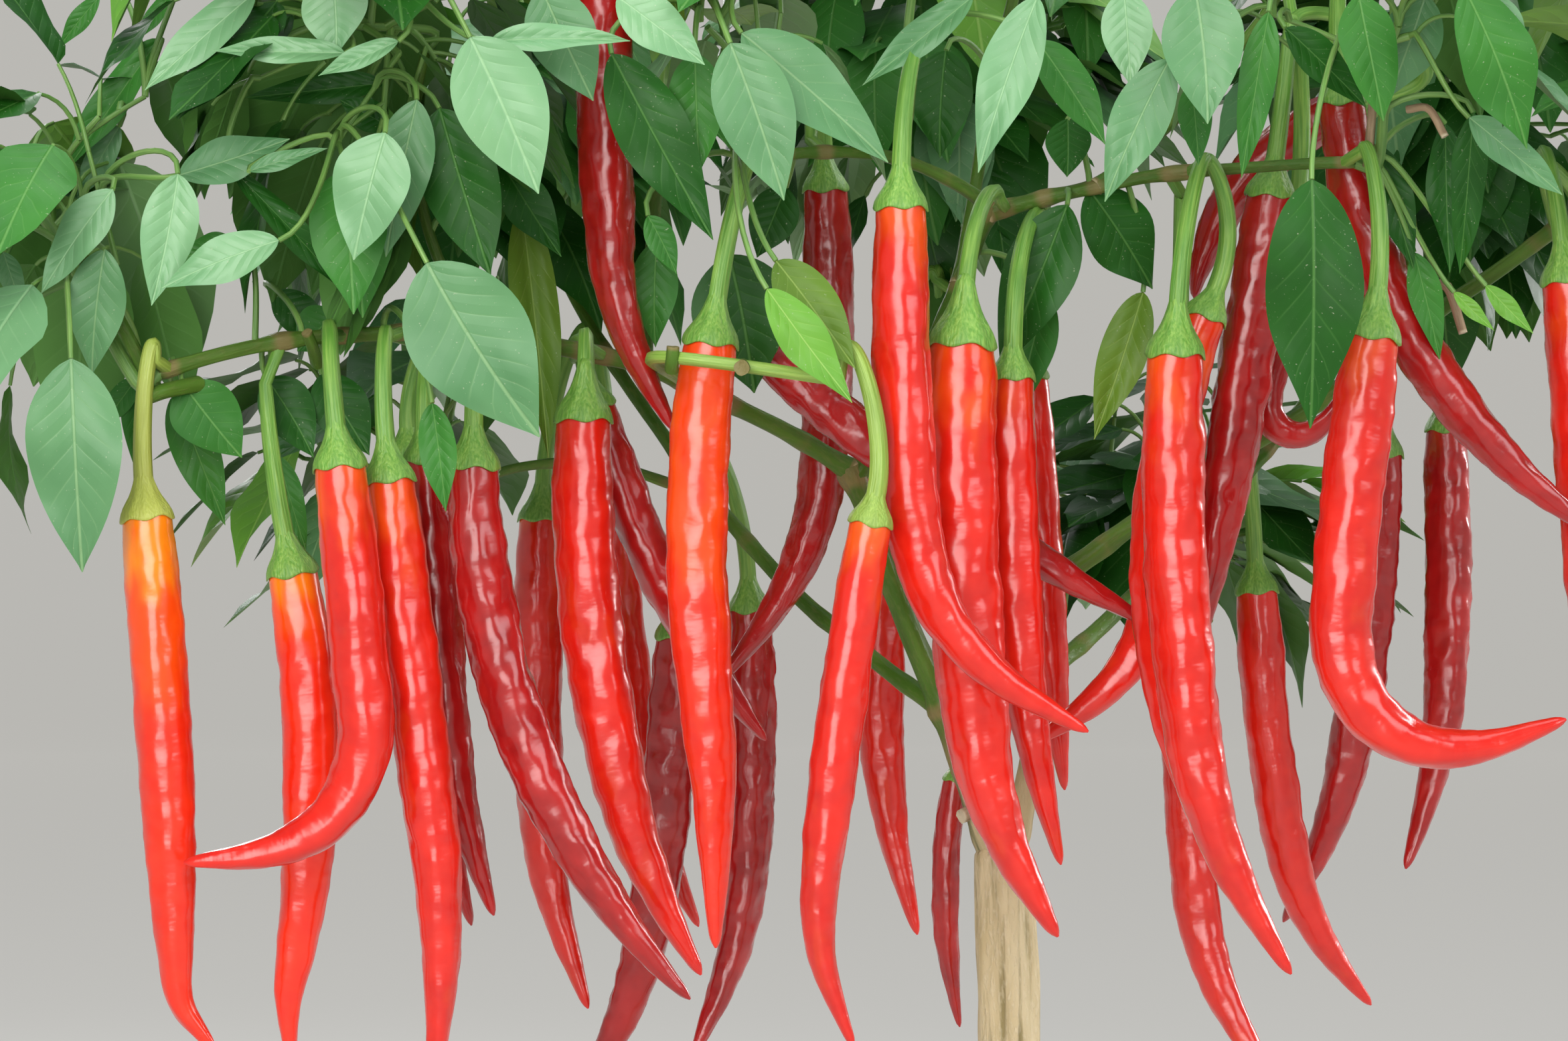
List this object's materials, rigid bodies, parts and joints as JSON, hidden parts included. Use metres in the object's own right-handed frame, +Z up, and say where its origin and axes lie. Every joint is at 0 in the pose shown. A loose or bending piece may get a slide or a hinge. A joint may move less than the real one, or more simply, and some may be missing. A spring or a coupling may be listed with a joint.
{
  "type": "chilli pepper plant",
  "caption": "Whole rooted chilli pepper plant: a woody forked trunk, green boughs, masses of drooping leaves and long red hanging fruits.",
  "frame": {"origin": "centre of the flat cut at the trunk's foot, at ground level", "axes": "+Z up along the plant's height, the side that carries most ripe fruit faces -Y, +X to the right of that view"},
  "size_m": [0.6407, 0.4274, 0.6914],
  "materials": {
    "bark": "dry tan bark with lengthwise fissures and small grey scars",
    "green_wood": "smooth green shoots with fine ridges, darker knots and tan corky streaks",
    "leaf": "dark green leaves with a soft waxy shine, a pale midrib and curved side veins",
    "fruit": "very glossy red skin with fine crosswise wrinkles and shallow lengthwise grooves",
    "ripening_fruit": "very glossy orange-red skin, yellow to orange at the shoulders"
  },
  "bodies": {
    "root": {"trunk": "bark", "limb-left": "bark", "limb-right": "bark", "arm-left": "green_wood", "arm-right": "green_wood", "limb-center": "green_wood", "bough-center-left": "green_wood", "bough-center-right": "green_wood", "spur-center": "green_wood", "stem-left": "green_wood", "stem-top-left": "green_wood", "stem-top": "green_wood", "bough-right-upper": "green_wood", "limb-back": "bark", "limb-back-left": "green_wood", "limb-back-right": "green_wood", "bough-low-left": "green_wood", "bough-low-back": "green_wood", "fruit-left-end": "ripening_fruit", "fruit-left-hanging": "ripening_fruit", "fruit-left-curled": "fruit", "fruit-left-grooved": "fruit", "fruit-left-pair": "fruit", "fruit-left-dark": "fruit", "fruit-middle-left": "fruit", "fruit-middle-behind": "fruit", "fruit-high": "fruit", "fruit-middle": "ripening_fruit", "fruit-maroon": "fruit", "fruit-lying": "fruit", "fruit-center-bent": "fruit", "fruit-center-front": "fruit", "fruit-center-broad": "fruit", "fruit-center-pair": "fruit", "fruit-right-swept": "fruit", "fruit-right-pair": "fruit", "fruit-upper-right-group": "fruit", "fruit-upper-right-arched": "fruit", "fruit-right-hooked": "fruit", "fruit-far-right": "fruit", "fruit-shrivelled": "fruit", "fruit-back-left-outer": "fruit", "fruit-back-left-inner": "fruit", "fruit-back-center": "fruit", "fruit-back-right-inner": "fruit", "fruit-back-right-outer": "fruit", "foliage-left-tip": "leaf", "foliage-left": "leaf", "foliage-top-left": "leaf", "foliage-center-left": "leaf", "foliage-center": "leaf", "foliage-top": "leaf", "foliage-center-right": "leaf", "foliage-top-right": "leaf", "foliage-right": "leaf", "foliage-back-left": "leaf", "foliage-back": "leaf", "foliage-back-right": "leaf", "foliage-low-left": "leaf", "foliage-low-back": "leaf"}
  },
  "joints": []
}
